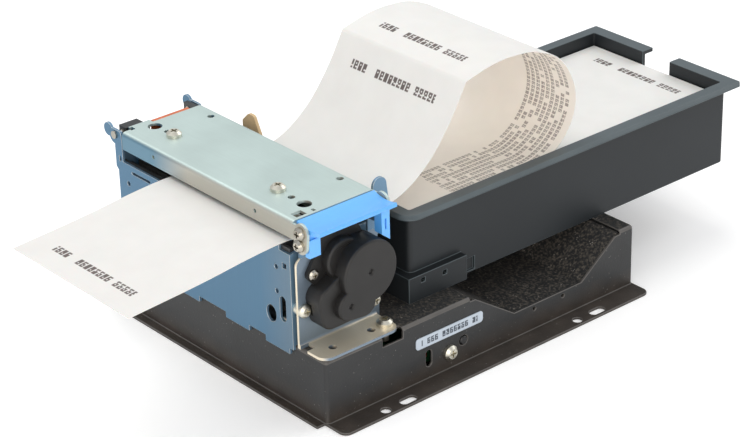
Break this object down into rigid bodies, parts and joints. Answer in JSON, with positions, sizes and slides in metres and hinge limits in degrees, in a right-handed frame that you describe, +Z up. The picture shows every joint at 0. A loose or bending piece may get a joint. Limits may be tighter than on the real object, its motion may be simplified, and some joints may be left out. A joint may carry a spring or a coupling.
{
  "type": "kiosk ticket printer",
  "caption": "Kiosk thermal ticket printer: black bolt-down base, sheet-metal print mechanism with hinged cover and blue latch lever, and a rear tray that feeds fan-fold tickets.",
  "frame": {"origin": "centre of the four round mounting holes, on the plane that the base stands on", "axes": "+X to the operator's right, where the gear cover and the lever are; +Y to the back, where the ticket tray is; +Z up"},
  "size_m": [0.142, 0.2783, 0.1],
  "materials": {
    "base_black": "wrinkle",
    "zinc_sheet": "zinc plated, satin",
    "cover_sheet": "zinc plated, satin",
    "steel": "plain",
    "screw_steel": "nickel plated",
    "tray_black": "fine texture",
    "gear_black": "fine texture",
    "guide_black": "smooth",
    "lever_blue": "satin",
    "gear_white": "smooth",
    "platen_rubber": "matt",
    "sink_aluminium": "extruded",
    "head_ceramic": "glazed",
    "flex_orange": "smooth",
    "board_green": "lacquered",
    "board_tan": "smooth",
    "chip_black": "smooth",
    "connector_white": "smooth",
    "motor_steel": "rolled",
    "label_grey": "smooth",
    "lamp_red": "clear",
    "button_white": "smooth",
    "paper_white": "paper"
  },
  "bodies": {
    "chassis": {"base_chassis": "base_black", "deck_pan": "base_black", "bottom_cover": "base_black", "board_standoffs": "steel", "control_board": "board_green", "board_screws": "screw_steel", "board_chips": "chip_black", "board_connectors": "connector_white", "power_inlet": "chip_black", "data_socket": "steel", "switch_board": "board_green", "alarm_lamp": "lamp_red", "feed_switch": "chip_black", "switch_screw": "screw_steel", "switch_label": "label_grey", "mech_frame": "zinc_sheet", "mech_bracket_right": "zinc_sheet", "mech_bracket_left": "zinc_sheet", "mech_screws": "screw_steel", "bracket_screws": "screw_steel", "front_guide": "guide_black", "inlet_guide": "guide_black", "tie_rods": "steel", "platen_bushes": "guide_black", "idler_stud": "steel", "feed_motor": "motor_steel", "gear_cover": "gear_black", "gear_cover_screws": "screw_steel", "cutter_plate": "zinc_sheet", "cutter_motor": "motor_steel", "sensor_board": "board_tan", "hinge_pin": "steel", "latch_catches": "zinc_sheet", "ticket_tray": "tray_black", "tray_screws": "screw_steel", "ticket_stack": "paper_white", "ticket_web": "paper_white", "issued_ticket": "paper_white"},
    "cover": {"top_cover": "cover_sheet", "hinge_blocks": "guide_black", "head_screws": "screw_steel", "head_sink": "sink_aluminium", "thermal_head": "head_ceramic", "head_springs": "steel", "head_flex": "flex_orange", "fixed_blade": "steel", "lever_screws": "screw_steel"},
    "lever": {"latch_lever": "lever_blue"},
    "platen": {"platen_roller": "platen_rubber", "platen_shaft": "steel", "platen_gear": "gear_white"},
    "idler": {"idler_gear": "gear_white"},
    "feed_pinion": {"motor_pinion": "gear_white"},
    "blade": {"cutter_blade": "steel"},
    "blade_pinion": {"cutter_pinion": "gear_white"},
    "button": {"feed_button": "button_white"}
  },
  "joints": [
    {"name": "cover_hinge", "type": "hinge", "parent": "chassis", "child": "cover", "pos_m": [-0.0502, -0.049, 0.0704], "axis": [0, -1, 0], "range_deg": [0, 75]},
    {"name": "lever_pivot", "type": "hinge", "parent": "cover", "child": "lever", "pos_m": [0.0529, -0.049, 0.0698], "axis": [0, -1, 0], "range_deg": [0, 20], "stiffness_Nm_per_rad": 0.05, "springref_deg": -8.59},
    {"name": "platen_spin", "type": "hinge", "parent": "chassis", "child": "platen", "pos_m": [0, -0.0496, 0.0546], "axis": [1, 0, 0], "continuous": true},
    {"name": "idler_spin", "type": "hinge", "parent": "chassis", "child": "idler", "pos_m": [0.052, -0.04302, 0.04938], "axis": [1, 0, 0], "continuous": true},
    {"name": "feed_pinion_spin", "type": "hinge", "parent": "chassis", "child": "feed_pinion", "pos_m": [0.054, -0.05188, 0.0396], "axis": [1, 0, 0], "continuous": true},
    {"name": "blade_lift", "type": "slide", "parent": "chassis", "child": "blade", "axis": [0, 0, 1], "range_m": [0, 0.005]},
    {"name": "blade_pinion_spin", "type": "hinge", "parent": "chassis", "child": "blade_pinion", "pos_m": [-0.03, -0.0608, 0.042], "axis": [0, 1, 0], "range_deg": [0, 80]},
    {"name": "feed_button_press", "type": "slide", "parent": "chassis", "child": "button", "axis": [-1, 0, 0], "range_m": [0, 0.0008], "stiffness_N_per_m": 200, "springref_m": -0.0005}
  ],
  "couplings": [
    {"joint": "idler_spin", "follows": "platen_spin", "ratio": -1.8},
    {"joint": "feed_pinion_spin", "follows": "platen_spin", "ratio": 4.8},
    {"joint": "blade_pinion_spin", "follows": "blade_lift", "rad_per_m": 277.78}
  ]
}
